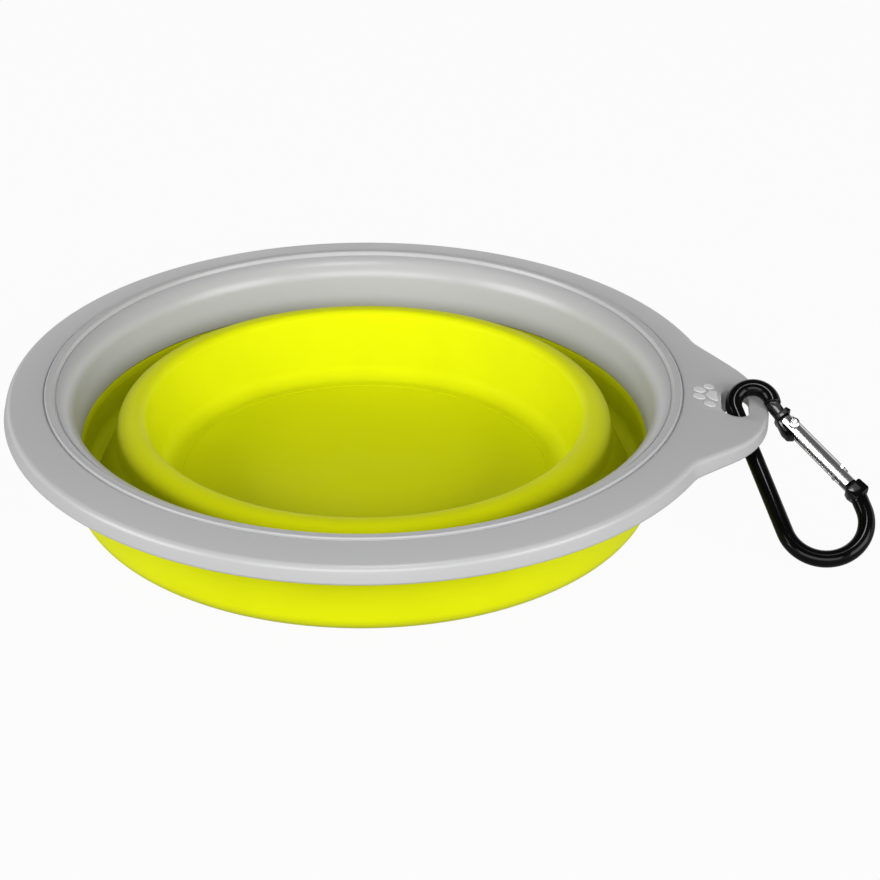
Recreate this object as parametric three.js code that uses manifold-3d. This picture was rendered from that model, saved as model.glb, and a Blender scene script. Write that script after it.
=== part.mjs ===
// Collapsible travel bowl with a hanging tab and a snap hook, folded flat.
// Millimetres, +Z up. The origin is the centre of the base on the surface that the bowl stands on,
// and the tab points along +X.

import * as THREE from 'three';
import { mergeVertices } from 'three/addons/utils/BufferGeometryUtils.js';
import Module from 'manifold-3d';

const wasm = await Module();
wasm.setup();

const DEGREE = Math.PI / 180;
const GAP = 0.3;                  // clearance between neighbouring pieces

// Rim frame: sloping flange, rounded skirt, and the hub that the liner sits in.
const RIM_RADIUS = 89.5;
const HUB_RADIUS = 79.4;          // inner face of the frame, beside the bead
const FLANGE_TOP = 28.75;         // height of the flange at the bead
const FLANGE_EDGE_TOP = 27.72;    // height where the flange rounds over into the skirt
const FLANGE_THICKNESS = 2.0;
const EDGE_RADIUS = 1.4;
const TAB_EDGE_RADIUS = 2.0;      // the edge is rounder at the tab's tip
const EDGE_ROUND_END = 80 * DEGREE;   // where the rounding meets the flange's slope
const SKIRT_BOTTOM = 23.4;
const SKIRT_THICKNESS = 2.0;
const SKIRT_TAPER = 0.3;          // the skirt's outside leans in by this much at the bottom
const FLANGE_FILLET = 0.6;        // under the flange, at the skirt
const HUB_THICKNESS = 1.6;
const HUB_BOTTOM = 21.5;

// Hanging tab: a round tip, straight flanks and hollow corners into the rim.
const TAB_REACH = 100.7;          // from the bowl's axis to the tip
const TAB_TIP_RADIUS = 34.5;
const TAB_FLANK_ANGLE = 41.0 * DEGREE;
const TAB_CORNER_RADIUS = 10.0;
const TAB_TOP_DROP = 2.5;         // how much lower the tab's edge is than the rim's
const TAB_BOTTOM_DROP = 2.0;
const SLOT_CENTRE = new THREE.Vector2(92.0, 0.5);
const SLOT_WIDTH = 7.6;
const SLOT_LENGTH = 13.4;
const SLOT_CUT_DEPTH = 20.0;      // of the cutter, which goes right through the tab

// Liner: raised bead and the collar inside it.
const BEAD_TOP = 29.4;
const BEAD_INNER_RADIUS = 76.8;
const BEAD_EDGE = 0.4;
const LINER_BOTTOM = 26.6;        // underside of the liner beside the frame
const COLLAR_CENTRE = new THREE.Vector2(77.9, 22.55);   // of the collar's rounded shoulder
const COLLAR_RADIUS = 6.0;
const COLLAR_HIGH = 105 * DEGREE; // ends of the shoulder's rounding
const COLLAR_LOW = 173 * DEGREE;
const COLLAR_FOOT = new THREE.Vector2(70.85, 14.6);
const COLLAR_FOOT_WIDTH = 1.0;
const COLLAR_THICKNESS = 1.4;

// Soft outer wall, its lower fold and the ledge inside it.
const FOLD_CENTRE = new THREE.Vector2(69.2, 4.3);
const FOLD_RADIUS = 4.2;
const LEDGE_INNER_RADIUS = 67.3;
const LEDGE_TOP = 4.4;
const LEDGE_FILLET = 2.4;
const WALL_INNER_RADIUS = 70.3;
const WALL_LIP_DROP = 2.0;        // from the collar's foot down to the wall's inner face
const WALL_OUTSIDE = [[73.6, 10.0], [74.6, 15.5], [76.8, 19.8]];   // outer face, radius and height
const WALL_TOP_HEIGHT = 24.0;     // where the wall's outer face meets the frame's hub

// Inner cup with its roll, the fold wall outside the roll, and the floor.
const ROLL_CENTRE = new THREE.Vector2(57.6, 17.1);   // of the roll's outer rounding
const ROLL_RADIUS = 4.2;
const ROLL_THICKNESS = 2.0;
const CREST_RADIUS = 57.2;        // where the fold wall meets the cup
const FOLD_FOOT = 1.2;            // lower end of the fold wall
const FOLD_FOOT_BACK = 3.4;       // height where the fold wall's back leans away from its foot
const FOLD_WAIST = new THREE.Vector2(62.3, 14.0);   // where the fold wall flares out below the roll
const LIP_CENTRE = new THREE.Vector2(56.84, 19.1);   // of the rounding inside the crest
const LIP_RADIUS = 2.2;
const CUP_LEAN = 10.05 * DEGREE;  // of the cup's wall from upright
const FILLET_CENTRE = new THREE.Vector2(48.11, 7.65); // of the hollow between the cup's wall and floor
const FILLET_RADIUS = 4.4;
const CUP_FOOT_RADIUS = 52.4;     // outer side of the cup at its foot
const CUP_BACK = [[53.8, 6.2], [56.9, 19.3]];        // outer side of the cup's wall, radius and height
const FLOOR_RADIUS = 48.8;
const FLOOR_TOP = 3.2;
const BASE_RECESS = 1.2;          // depth of the ring recess under the floor
const BASE_PAD_RADIUS = 14.0;
const BASE_FOOT_WIDTH = 8.0;
const FLOOR_CHAMFER = 0.6;        // on the floor's lower edge

// Snap hook, drawn in its own plane: p runs along the spine from the hook, q across to the gate.
const BAR_RADIUS = 2.1;
const HOOK_RADIUS = 4.8;          // centre line of the small loop
const HOOK_START = 72 * DEGREE;
const BOW_RADIUS = 10.1;          // centre line of the wide bow
const BOW_CENTRE_P = 34.9;
const NOSE_END_P = 31.0;
const HOOK_X = 96.8;              // place of the loop's centre along the tab
const HOOK_ABOVE_PIVOT = 2.2;
const PIVOT_HEIGHT = 24.6;        // height of the axis that the hook swings on
const SPINE_TURN = 68.3 * DEGREE; // from the tab's direction to the spine, in the hook's plane

// Gate, drawn from its rivet: g runs along the gate to the nose, h outwards.
const RIVET_P = 9.1;
const RIVET_Q = 7.0;
const GATE_TURN = 21.8 * DEGREE;
const GATE_BACK = -2.6;
const GATE_END = 20.4;
const GATE_INNER_EDGE = -1.9;
const GATE_OUTER_EDGE = 2.3;
const GATE_WIDTH = 5.2;
const SHEET = 0.8;
const WEB_END = 17.3;             // the channel's outer web stops short of the nose's tongue
const TONGUE_WIDTH = 3.0;         // thickness of the head and of the nose inside the channel
const SHOULDER_WIDTH = 4.6;
const RIVET_RADIUS = 1.0;
const RIVET_HEAD_RADIUS = 1.7;
const RIVET_HEAD_HEIGHT = 0.7;
const PLUNGER_RADIUS = 1.2;
const PLUNGER_START = 2.8;
const PLUNGER_END = 6.5;
const CHANNEL_MIDDLE = -0.15;     // h of the plunger's and spring's axis
const SPRING_START = 6.9;
const SPRING_TURNS = 8;
const SPRING_PITCH = 1.0;
const SPRING_RADIUS = 1.15;
const WIRE_RADIUS = 0.22;
const STOP_THICKNESS = 0.8;
const STOP_INSET = 0.4;           // from the channel's open edge to the spring's stop
const CUT_SPARE = 1.0;            // how far a cutter goes past what it cuts
const HEAD_FLAT = 0.7;            // share of the rivet head's radius that is flat
const HEAD_SIDE = 0.4;            // share of its height that is upright
const PLUNGER_NOSE = [[0.6, 0.1], [1.0, 0.5]];   // share of the plunger's radius, and distance from its front

// Outlines on the hook in the gate's own coordinates, g then h.
const NOSE_OUTLINE = [[20.8, -2.2], [22.2, -2.6], [24.6, -2.2], [24.6, 2.0], [24.0, 2.5], [20.8, 2.3]];
const TONGUE_OUTLINE = [[17.7, -1.3], [21.4, -1.3], [21.4, 1.4], [17.7, 1.4]];
const SHOULDER_OUTLINE = [[-4.7, -1.8], [-3.3, -2.2], [-3.3, 2.2], [-4.7, 1.8]];
const NECK_OUTLINE = [[-8.6, -0.9], [-4.2, -1.4], [-4.2, 1.2], [-8.6, 2.0]];
const CAM_OUTLINE = [[-3.6, -2.2], [-0.6, -3.2], [1.4, -3.2], [2.4, -2.0], [2.4, -0.4],
  [1.2, 0.9], [0, 1.4], [-3.6, 1.4]];

// Faceting.
const RING_STEPS = 48;
const TAB_STEPS = 24;             // of the rim frame, across the tab
const REST_STEPS = 42;            // of the rim frame, round the rest
const BAR_SIDES = 12;

/** Points of an arc in a plane, both ends included. */
function arc(centre, radius, from, to, steps) {
  const points = [];
  for (let i = 0; i <= steps; i += 1) {
    const angle = from + (to - from) * i / steps;
    points.push(new THREE.Vector2(centre.x + radius * Math.cos(angle), centre.y + radius * Math.sin(angle)));
  }
  return points;
}

/** Short form of a point in a plane. */
function at(x, y) {
  return new THREE.Vector2(x, y);
}

/** Solid of revolution about Z from a closed outline of (radius, height), drawn anticlockwise. */
function ring(outline, steps = RING_STEPS) {
  const geometry = new THREE.LatheGeometry([...outline, outline[0]], steps);
  return geometry.rotateX(Math.PI / 2);
}

/** Closed mesh from rows of points: a tube whose rows follow each other, or a loop of rows. */
function skin(rows, closed) {
  const sides = rows[0].length;
  const positions = rows.flat().flatMap((point) => [point.x, point.y, point.z]);
  const index = [];
  const spans = closed ? rows.length : rows.length - 1;
  for (let i = 0; i < spans; i += 1) {
    const next = (i + 1) % rows.length;
    for (let j = 0; j < sides; j += 1) {
      const k = (j + 1) % sides;
      const [a, b, c, d] = [i * sides + j, i * sides + k, next * sides + k, next * sides + j];
      index.push(a, b, c, a, c, d);
    }
  }
  if (!closed) {
    const last = (rows.length - 1) * sides;
    for (let j = 1; j < sides - 1; j += 1) {
      index.push(0, j + 1, j);
      index.push(last, last + j, last + j + 1);
    }
  }
  const geometry = new THREE.BufferGeometry();
  geometry.setAttribute('position', new THREE.Float32BufferAttribute(positions, 3));
  geometry.setIndex(index);
  return geometry;
}

/** Boolean solid from a closed geometry. */
function solid(geometry) {
  const bare = geometry.clone();
  bare.deleteAttribute('normal');
  bare.deleteAttribute('uv');
  const merged = mergeVertices(bare, 1e-4);
  const mesh = new wasm.Mesh({
    numProp: 3,
    vertProperties: new Float32Array(merged.attributes.position.array),
    triVerts: new Uint32Array(merged.index.array),
  });
  return new wasm.Manifold(mesh);
}

/** Geometry from a boolean solid. */
function surface(body) {
  const mesh = body.getMesh();
  const geometry = new THREE.BufferGeometry();
  geometry.setAttribute('position', new THREE.Float32BufferAttribute(mesh.vertProperties, 3));
  geometry.setIndex(Array.from(mesh.triVerts));
  return geometry;
}

/** Flat outline given a thickness, centred on its plane. */
function plate(points, thickness, curveSegments = 8) {
  const outline = points instanceof THREE.Shape ? points : new THREE.Shape(points);
  const settings = { depth: thickness, bevelEnabled: false, curveSegments };
  return new THREE.ExtrudeGeometry(outline, settings).translate(0, 0, -thickness / 2);
}

/** Rectangular block between two corners. */
function block(low, high) {
  const size = new THREE.Vector3().subVectors(high, low);
  const middle = new THREE.Vector3().addVectors(low, high).multiplyScalar(0.5);
  return new THREE.BoxGeometry(size.x, size.y, size.z).translate(middle.x, middle.y, middle.z);
}

/** Round pin along the local Z axis, centred. */
function pin(radius, length, sides = 16) {
  return new THREE.CylinderGeometry(radius, radius, length, sides).rotateX(Math.PI / 2);
}

/** Named mesh with its own material. */
function piece(name, geometry, finish) {
  const mesh = new THREE.Mesh(geometry, new THREE.MeshStandardMaterial(finish));
  mesh.name = name;
  return mesh;
}

// Distance from the axis to the edge of the rim or tab, in a given direction.
const tabCentre = TAB_REACH - TAB_TIP_RADIUS;
const flankNormal = at(Math.cos(TAB_FLANK_ANGLE), Math.sin(TAB_FLANK_ANGLE));
const flankReach = tabCentre * flankNormal.x + TAB_TIP_RADIUS;
const cornerReach = flankReach + TAB_CORNER_RADIUS;
const cornerAlong = Math.sqrt((RIM_RADIUS + TAB_CORNER_RADIUS) ** 2 - cornerReach ** 2);
const cornerCentre = at(
  cornerReach * flankNormal.x + cornerAlong * flankNormal.y,
  cornerReach * flankNormal.y - cornerAlong * flankNormal.x,
);
const tipEnd = Math.atan2(TAB_TIP_RADIUS * flankNormal.y, tabCentre + TAB_TIP_RADIUS * flankNormal.x);
const flankEnd = Math.atan2(
  cornerCentre.y - TAB_CORNER_RADIUS * flankNormal.y,
  cornerCentre.x - TAB_CORNER_RADIUS * flankNormal.x,
);
const cornerEnd = cornerCentre.angle();

/** Far or near meeting of a ray from the axis with a circle. */
function rayToCircle(angle, centre, radius, far) {
  const along = centre.x * Math.cos(angle) + centre.y * Math.sin(angle);
  const across = Math.sqrt(radius ** 2 - (centre.lengthSq() - along ** 2));
  return far ? along + across : along - across;
}

function edgeReach(angle) {
  const turn = Math.abs(angle);
  if (turn <= tipEnd) {
    return rayToCircle(turn, at(tabCentre, 0), TAB_TIP_RADIUS, true);
  }
  if (turn <= flankEnd) {
    return flankReach / Math.cos(turn - TAB_FLANK_ANGLE);
  }
  if (turn < cornerEnd) {
    return rayToCircle(turn, cornerCentre, TAB_CORNER_RADIUS, false);
  }
  return RIM_RADIUS;
}

/** Section of the rim frame, anticlockwise, for an edge at the given distance from the axis. */
function rimSection(reach) {
  const share = (reach - RIM_RADIUS) / (TAB_REACH - RIM_RADIUS);
  const edgeTop = FLANGE_EDGE_TOP - TAB_TOP_DROP * share;
  const bottom = SKIRT_BOTTOM - TAB_BOTTOM_DROP * share;
  const rounding = EDGE_RADIUS + (TAB_EDGE_RADIUS - EDGE_RADIUS) * share;
  const roundCentre = at(reach - rounding, edgeTop - rounding);
  return [
    at(HUB_RADIUS, HUB_BOTTOM),
    at(HUB_RADIUS + HUB_THICKNESS, HUB_BOTTOM),
    at(HUB_RADIUS + HUB_THICKNESS, FLANGE_TOP - FLANGE_THICKNESS),
    at(reach - SKIRT_THICKNESS - FLANGE_FILLET, edgeTop - FLANGE_THICKNESS),
    at(reach - SKIRT_THICKNESS, edgeTop - FLANGE_THICKNESS - FLANGE_FILLET),
    at(reach - SKIRT_THICKNESS, bottom),
    at(reach - SKIRT_TAPER, bottom),
    ...arc(roundCentre, rounding, 0, EDGE_ROUND_END, 4),
    at(HUB_RADIUS, FLANGE_TOP),
  ];
}

/** Rim frame with the tab drawn out of its flange and the slot cut through. */
function rimFrame() {
  const angles = [];
  for (let i = 0; i < TAB_STEPS; i += 1) {
    angles.push(cornerEnd * (2 * i / TAB_STEPS - 1));
  }
  for (let i = 0; i < REST_STEPS; i += 1) {
    angles.push(cornerEnd + (2 * Math.PI - 2 * cornerEnd) * i / REST_STEPS);
  }
  const rows = angles.map((angle) => {
    const reach = edgeReach(angle > Math.PI ? angle - 2 * Math.PI : angle);
    const section = rimSection(reach);
    return section.map((point) => new THREE.Vector3(
      point.x * Math.cos(angle), point.x * Math.sin(angle), point.y,
    )).reverse();
  });
  const half = SLOT_LENGTH / 2 - SLOT_WIDTH / 2;
  const slot = new THREE.Shape();
  slot.absarc(0, half, SLOT_WIDTH / 2, 0, Math.PI);
  slot.absarc(0, -half, SLOT_WIDTH / 2, Math.PI, 2 * Math.PI);
  const cutter = plate(slot, SLOT_CUT_DEPTH).translate(SLOT_CENTRE.x, SLOT_CENTRE.y, FLANGE_TOP);
  return surface(solid(skin(rows, true)).subtract(solid(cutter)));
}

/** Grey bead with the rounded collar below it, which goes down behind the roll. */
function rimLiner() {
  const outer = HUB_RADIUS - GAP;
  return ring([
    COLLAR_FOOT,
    at(COLLAR_FOOT.x + COLLAR_FOOT_WIDTH, COLLAR_FOOT.y),
    ...arc(COLLAR_CENTRE, COLLAR_RADIUS - COLLAR_THICKNESS, COLLAR_LOW, COLLAR_HIGH, 5),
    at(outer, LINER_BOTTOM),
    at(outer, BEAD_TOP - BEAD_EDGE),
    at(outer - BEAD_EDGE, BEAD_TOP),
    at(BEAD_INNER_RADIUS + BEAD_EDGE, BEAD_TOP),
    at(BEAD_INNER_RADIUS, BEAD_TOP - BEAD_EDGE),
    ...arc(COLLAR_CENTRE, COLLAR_RADIUS, COLLAR_HIGH, COLLAR_LOW, 6),
  ]);
}

/** Soft outer wall, hung behind the collar, with the lower fold and its ledge at the bottom. */
function upperWall() {
  const outer = HUB_RADIUS - GAP;
  const depth = COLLAR_THICKNESS + GAP;
  const lip = Math.acos((LEDGE_INNER_RADIUS - FOLD_CENTRE.x) / FOLD_RADIUS);
  const fillet = at(WALL_INNER_RADIUS - LEDGE_FILLET, LEDGE_TOP + LEDGE_FILLET);
  const footBack = COLLAR_FOOT.x + COLLAR_FOOT_WIDTH + GAP;
  return ring([
    ...arc(FOLD_CENTRE, FOLD_RADIUS, -lip, 0, 8),
    ...WALL_OUTSIDE.map(([radius, height]) => at(radius, height)),
    at(outer, WALL_TOP_HEIGHT),
    at(outer, LINER_BOTTOM - 2 * GAP),
    ...arc(COLLAR_CENTRE, COLLAR_RADIUS - depth, COLLAR_HIGH, COLLAR_LOW, 5),
    at(footBack, COLLAR_FOOT.y),
    at(footBack, COLLAR_FOOT.y - GAP),
    at(COLLAR_FOOT.x, COLLAR_FOOT.y - GAP),
    at(WALL_INNER_RADIUS, COLLAR_FOOT.y - WALL_LIP_DROP),
    ...arc(fillet, LEDGE_FILLET, 0, -90 * DEGREE, 5),
    at(LEDGE_INNER_RADIUS, LEDGE_TOP),
  ]);
}

/** Soft wall from the crest of the roll out and down to the ledge of the lower fold. */
function foldWall() {
  const inner = ROLL_RADIUS - ROLL_THICKNESS;
  const top = ROLL_CENTRE.y + ROLL_RADIUS;
  const foot = LEDGE_INNER_RADIUS - GAP;
  const crest = CREST_RADIUS + GAP / 2;
  return ring([
    at(foot - ROLL_THICKNESS, FOLD_FOOT),
    at(foot, FOLD_FOOT),
    at(foot, LEDGE_TOP),
    FOLD_WAIST,
    ...arc(ROLL_CENTRE, ROLL_RADIUS, 0, 90 * DEGREE, 7),
    at(crest, top),
    at(crest, top - ROLL_THICKNESS),
    ...arc(ROLL_CENTRE, inner, 90 * DEGREE, 0, 5),
    at(FOLD_WAIST.x - ROLL_THICKNESS, FOLD_WAIST.y - 2 * GAP),
    at(foot - ROLL_THICKNESS, FOLD_FOOT_BACK),
  ]);
}

/** Inner side of the roll and the steep wall of the cup, with a hollow at its foot. */
function baseCup() {
  const top = LIP_CENTRE.y + LIP_RADIUS;
  const seat = FLOOR_RADIUS + GAP;
  const crest = CREST_RADIUS - GAP / 2;
  const seatAngle = -Math.acos((seat - FILLET_CENTRE.x) / FILLET_RADIUS);
  return ring([
    at(seat, GAP),
    at(CUP_FOOT_RADIUS, GAP),
    ...CUP_BACK.map(([radius, height]) => at(radius, height)),
    at(crest, top - ROLL_THICKNESS),
    at(crest, top),
    ...arc(LIP_CENTRE, LIP_RADIUS, 90 * DEGREE, 180 * DEGREE - CUP_LEAN, 5),
    ...arc(FILLET_CENTRE, FILLET_RADIUS, -CUP_LEAN, seatAngle, 5),
  ]);
}

/** Stiff floor with a flat pad and a foot ring under it. */
function basePlate() {
  return ring([
    at(0, 0),
    at(BASE_PAD_RADIUS, 0),
    at(BASE_PAD_RADIUS + BASE_RECESS, BASE_RECESS),
    at(FLOOR_RADIUS - BASE_FOOT_WIDTH - BASE_RECESS, BASE_RECESS),
    at(FLOOR_RADIUS - BASE_FOOT_WIDTH, 0),
    at(FLOOR_RADIUS - FLOOR_CHAMFER, 0),
    at(FLOOR_RADIUS, FLOOR_CHAMFER),
    at(FLOOR_RADIUS, FLOOR_TOP),
    at(0, FLOOR_TOP),
  ]);
}

/** Round bar swept along points in the plane z = 0. */
function bar(path, radius) {
  const rows = path.map((point, i) => {
    const before = path[Math.max(i - 1, 0)];
    const after = path[Math.min(i + 1, path.length - 1)];
    const along = new THREE.Vector2().subVectors(after, before).normalize();
    const row = [];
    for (let j = 0; j < BAR_SIDES; j += 1) {
      const angle = 2 * Math.PI * (j + 0.5) / BAR_SIDES;
      const side = radius * Math.cos(angle);
      row.push(new THREE.Vector3(point.x - along.y * side, point.y + along.x * side, radius * Math.sin(angle)));
    }
    return row;
  });
  return skin(rows, false);
}

/** Point of the hook's plane from the gate's own coordinates. */
function fromGate(g, h) {
  return at(g, h).rotateAround(at(0, 0), GATE_TURN).add(at(RIVET_P, RIVET_Q));
}

/** Black hook: loop, spine, bow, nose with its tongue, and the head that holds the rivet. */
function carabinerBody() {
  const loop = arc(at(0, 0), HOOK_RADIUS, HOOK_START, 270 * DEGREE, 16);
  const bow = arc(at(BOW_CENTRE_P, BOW_RADIUS - HOOK_RADIUS), BOW_RADIUS, -90 * DEGREE, 90 * DEGREE, 18);
  const noseEnd = at(NOSE_END_P, 2 * BOW_RADIUS - HOOK_RADIUS);
  const wire = solid(bar([...loop, ...bow, noseEnd], BAR_RADIUS));
  const parts = [[NOSE_OUTLINE, 2 * BAR_RADIUS], [TONGUE_OUTLINE, TONGUE_WIDTH],
    [SHOULDER_OUTLINE, SHOULDER_WIDTH], [NECK_OUTLINE, TONGUE_WIDTH], [CAM_OUTLINE, TONGUE_WIDTH]];
  let body = wire;
  for (const [outline, width] of parts) {
    body = body.add(solid(plate(outline.map(([g, h]) => fromGate(g, h)), width)));
  }
  const hole = pin(RIVET_RADIUS + GAP, 2 * GATE_WIDTH).translate(RIVET_P, RIVET_Q, 0);
  return surface(body.subtract(solid(hole)));
}

/** Folded channel, open inwards, with a stop for the spring and a hole for the rivet. */
function carabinerGate() {
  const half = GATE_WIDTH / 2;
  const stopAt = SPRING_START + SPRING_TURNS * SPRING_PITCH + 2 * WIRE_RADIUS + GAP;
  const shell = solid(block(
    new THREE.Vector3(GATE_BACK, GATE_INNER_EDGE, -half),
    new THREE.Vector3(GATE_END, GATE_OUTER_EDGE, half),
  ));
  const trough = solid(block(
    new THREE.Vector3(GATE_BACK - CUT_SPARE, GATE_INNER_EDGE - CUT_SPARE, SHEET - half),
    new THREE.Vector3(GATE_END + CUT_SPARE, GATE_OUTER_EDGE - SHEET, half - SHEET),
  ));
  const noseCut = solid(block(
    new THREE.Vector3(WEB_END, GATE_INNER_EDGE - CUT_SPARE, SHEET - half),
    new THREE.Vector3(GATE_END + CUT_SPARE, GATE_OUTER_EDGE + CUT_SPARE, half - SHEET),
  ));
  const stop = solid(block(
    new THREE.Vector3(stopAt, GATE_INNER_EDGE + STOP_INSET, -half + SHEET / 2),
    new THREE.Vector3(stopAt + STOP_THICKNESS, GATE_OUTER_EDGE - SHEET / 2, half - SHEET / 2),
  ));
  const hole = solid(pin(RIVET_RADIUS + GAP, 2 * GATE_WIDTH));
  return surface(shell.subtract(trough).subtract(noseCut).add(stop).subtract(hole));
}

/** Rivet with a head outside each wall of the channel. */
function gateRivet() {
  const face = GATE_WIDTH / 2 + GAP;
  const outline = [
    at(0, -face - RIVET_HEAD_HEIGHT),
    at(RIVET_HEAD_RADIUS * HEAD_FLAT, -face - RIVET_HEAD_HEIGHT),
    at(RIVET_HEAD_RADIUS, -face - RIVET_HEAD_HEIGHT * HEAD_SIDE),
    at(RIVET_HEAD_RADIUS, -face),
    at(RIVET_RADIUS, -face),
    at(RIVET_RADIUS, face),
    at(RIVET_HEAD_RADIUS, face),
    at(RIVET_HEAD_RADIUS, face + RIVET_HEAD_HEIGHT * HEAD_SIDE),
    at(RIVET_HEAD_RADIUS * HEAD_FLAT, face + RIVET_HEAD_HEIGHT),
    at(0, face + RIVET_HEAD_HEIGHT),
  ];
  return new THREE.LatheGeometry(outline, 16).rotateX(Math.PI / 2);
}

/** Pin with a rounded front end, pushed against the head by the spring. */
function gatePlunger() {
  const outline = [
    at(0, PLUNGER_START),
    ...PLUNGER_NOSE.map(([share, back]) => at(PLUNGER_RADIUS * share, PLUNGER_START + back)),
    at(PLUNGER_RADIUS, PLUNGER_END),
    at(0, PLUNGER_END),
  ];
  return new THREE.LatheGeometry(outline, 16).rotateZ(-Math.PI / 2).translate(0, CHANNEL_MIDDLE, 0);
}

/** Coil spring as one unbroken wire, which prints the least gap between its turns. */
function gateSpring() {
  const stepsPerTurn = 8;
  const sides = 5;
  const steps = SPRING_TURNS * stepsPerTurn;
  const centre = (i) => {
    const angle = 2 * Math.PI * i / stepsPerTurn;
    const along = SPRING_START + WIRE_RADIUS + SPRING_PITCH * i / stepsPerTurn;
    return new THREE.Vector3(along, CHANNEL_MIDDLE + SPRING_RADIUS * Math.cos(angle), SPRING_RADIUS * Math.sin(angle));
  };
  const points = Array.from({ length: steps + 1 }, (_, i) => centre(i));
  let leastGap = Infinity;
  for (let i = 0; i <= steps; i += 1) {
    for (let j = i + stepsPerTurn / 2; j <= steps; j += 1) {
      leastGap = Math.min(leastGap, points[i].distanceTo(points[j]) - 2 * WIRE_RADIUS);
    }
  }
  console.log(`gate_spring: least gap between turns ${leastGap.toFixed(2)} mm`);
  const rows = points.map((point, i) => {
    const along = new THREE.Vector3().subVectors(centre(i + 1), centre(i - 1)).normalize();
    const out = new THREE.Vector3(0, point.y - CHANNEL_MIDDLE, point.z).normalize();
    const over = new THREE.Vector3().crossVectors(along, out);
    return Array.from({ length: sides }, (_, j) => {
      const angle = 2 * Math.PI * j / sides;
      return point.clone()
        .addScaledVector(out, WIRE_RADIUS * Math.cos(angle))
        .addScaledVector(over, WIRE_RADIUS * Math.sin(angle));
    });
  });
  return skin(rows, false);
}

const GREY = { color: 0xa9a9ab, roughness: 0.5, metalness: 0 };
const GREEN = { color: 0xc6d800, roughness: 0.45, metalness: 0 };
const BLACK = { color: 0x0a0a0a, roughness: 0.2, metalness: 0.6 };
const SILVER = { color: 0xd8d8da, roughness: 0.25, metalness: 1 };

// The gate and what is in it, about the rivet.
const gate = new THREE.Group();
gate.position.set(RIVET_P, RIVET_Q, 0);
gate.rotation.z = GATE_TURN;
gate.add(
  piece('carabiner_gate', carabinerGate(), SILVER),
  piece('gate_rivet', gateRivet(), SILVER),
  piece('gate_spring', gateSpring(), SILVER),
  piece('gate_plunger', gatePlunger(), SILVER),
);

// The hook in its own plane, and the plane leant until the bow meets the floor.
const hook = new THREE.Group();
hook.position.set(HOOK_X, HOOK_ABOVE_PIVOT, 0);
hook.rotation.z = -SPINE_TURN;
hook.add(piece('carabiner_body', carabinerBody(), BLACK), gate);

const bowMiddle = at(BOW_CENTRE_P, BOW_RADIUS - HOOK_RADIUS).rotateAround(at(0, 0), -SPINE_TURN);
const bowBelowPivot = BOW_RADIUS - bowMiddle.y - HOOK_ABOVE_PIVOT;
const leaning = new THREE.Group();
leaning.position.set(0, 0, PIVOT_HEIGHT);
leaning.rotation.x = Math.asin((PIVOT_HEIGHT - BAR_RADIUS) / bowBelowPivot);
leaning.add(hook);

const bowl = new THREE.Group();
bowl.name = 'collapsible_travel_bowl';
bowl.add(
  piece('rim_frame', rimFrame(), GREY),
  piece('rim_liner', rimLiner(), GREY),
  piece('upper_wall', upperWall(), GREEN),
  piece('fold_wall', foldWall(), GREEN),
  piece('base_cup', baseCup(), GREEN),
  piece('base_plate', basePlate(), GREEN),
  leaning,
);

export default bowl;
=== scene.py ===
import logging
import math
from dataclasses import dataclass
from enum import Enum
from typing import Callable, Sequence

import bmesh
import bpy
from mathutils import Matrix, Vector


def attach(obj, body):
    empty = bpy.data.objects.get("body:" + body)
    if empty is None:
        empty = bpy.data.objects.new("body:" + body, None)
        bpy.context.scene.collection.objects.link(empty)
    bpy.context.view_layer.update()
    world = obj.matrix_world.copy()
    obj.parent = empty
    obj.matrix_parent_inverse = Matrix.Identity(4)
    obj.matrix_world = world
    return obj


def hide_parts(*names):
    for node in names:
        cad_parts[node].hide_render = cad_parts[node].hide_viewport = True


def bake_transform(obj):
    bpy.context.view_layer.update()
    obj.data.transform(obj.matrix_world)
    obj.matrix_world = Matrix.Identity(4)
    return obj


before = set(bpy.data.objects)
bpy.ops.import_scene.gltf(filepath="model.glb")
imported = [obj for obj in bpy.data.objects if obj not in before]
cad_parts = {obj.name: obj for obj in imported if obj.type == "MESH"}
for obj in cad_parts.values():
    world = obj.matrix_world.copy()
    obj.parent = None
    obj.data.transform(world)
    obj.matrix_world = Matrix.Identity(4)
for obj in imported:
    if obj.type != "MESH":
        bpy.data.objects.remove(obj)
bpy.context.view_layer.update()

MM = 0.001
TURN = 2.0 * math.pi
MERGE = 1e-6

Colour = tuple[float, float, float]
Place = tuple[float, float, float]
Spot = tuple[float, float]

log = logging.getLogger("travel_bowl")


class Body(Enum):
    """The moving bodies that pieces ride on."""

    BASE = "base"
    RIM = "rim"
    HOOK = "hook"
    GATE = "gate"
    PLUNGER = "plunger"


class Slot(Enum):
    """The record's material slots."""

    RIM_GREY = "rim_grey"
    SOFT_GREEN = "soft_green"
    FLOOR_GREEN = "floor_green"
    HOOK_BLACK = "hook_black"
    BRIGHT_METAL = "bright_metal"


class Join(Enum):
    """How one solid is joined to another."""

    CUT = "DIFFERENCE"
    ADD = "UNION"


class Pick(Enum):
    """What is selected in edit mode."""

    POINTS = "VERT"
    EDGES = "EDGE"
    FACES = "FACE"


@dataclass(frozen=True)
class Corner:
    """A corner of an outline, in millimetres, with the radius that rounds it."""

    x: float
    y: float
    radius: float = 0.0

    def at(self) -> Vector:
        """Gives the corner's place."""
        return Vector((self.x, self.y))


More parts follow.
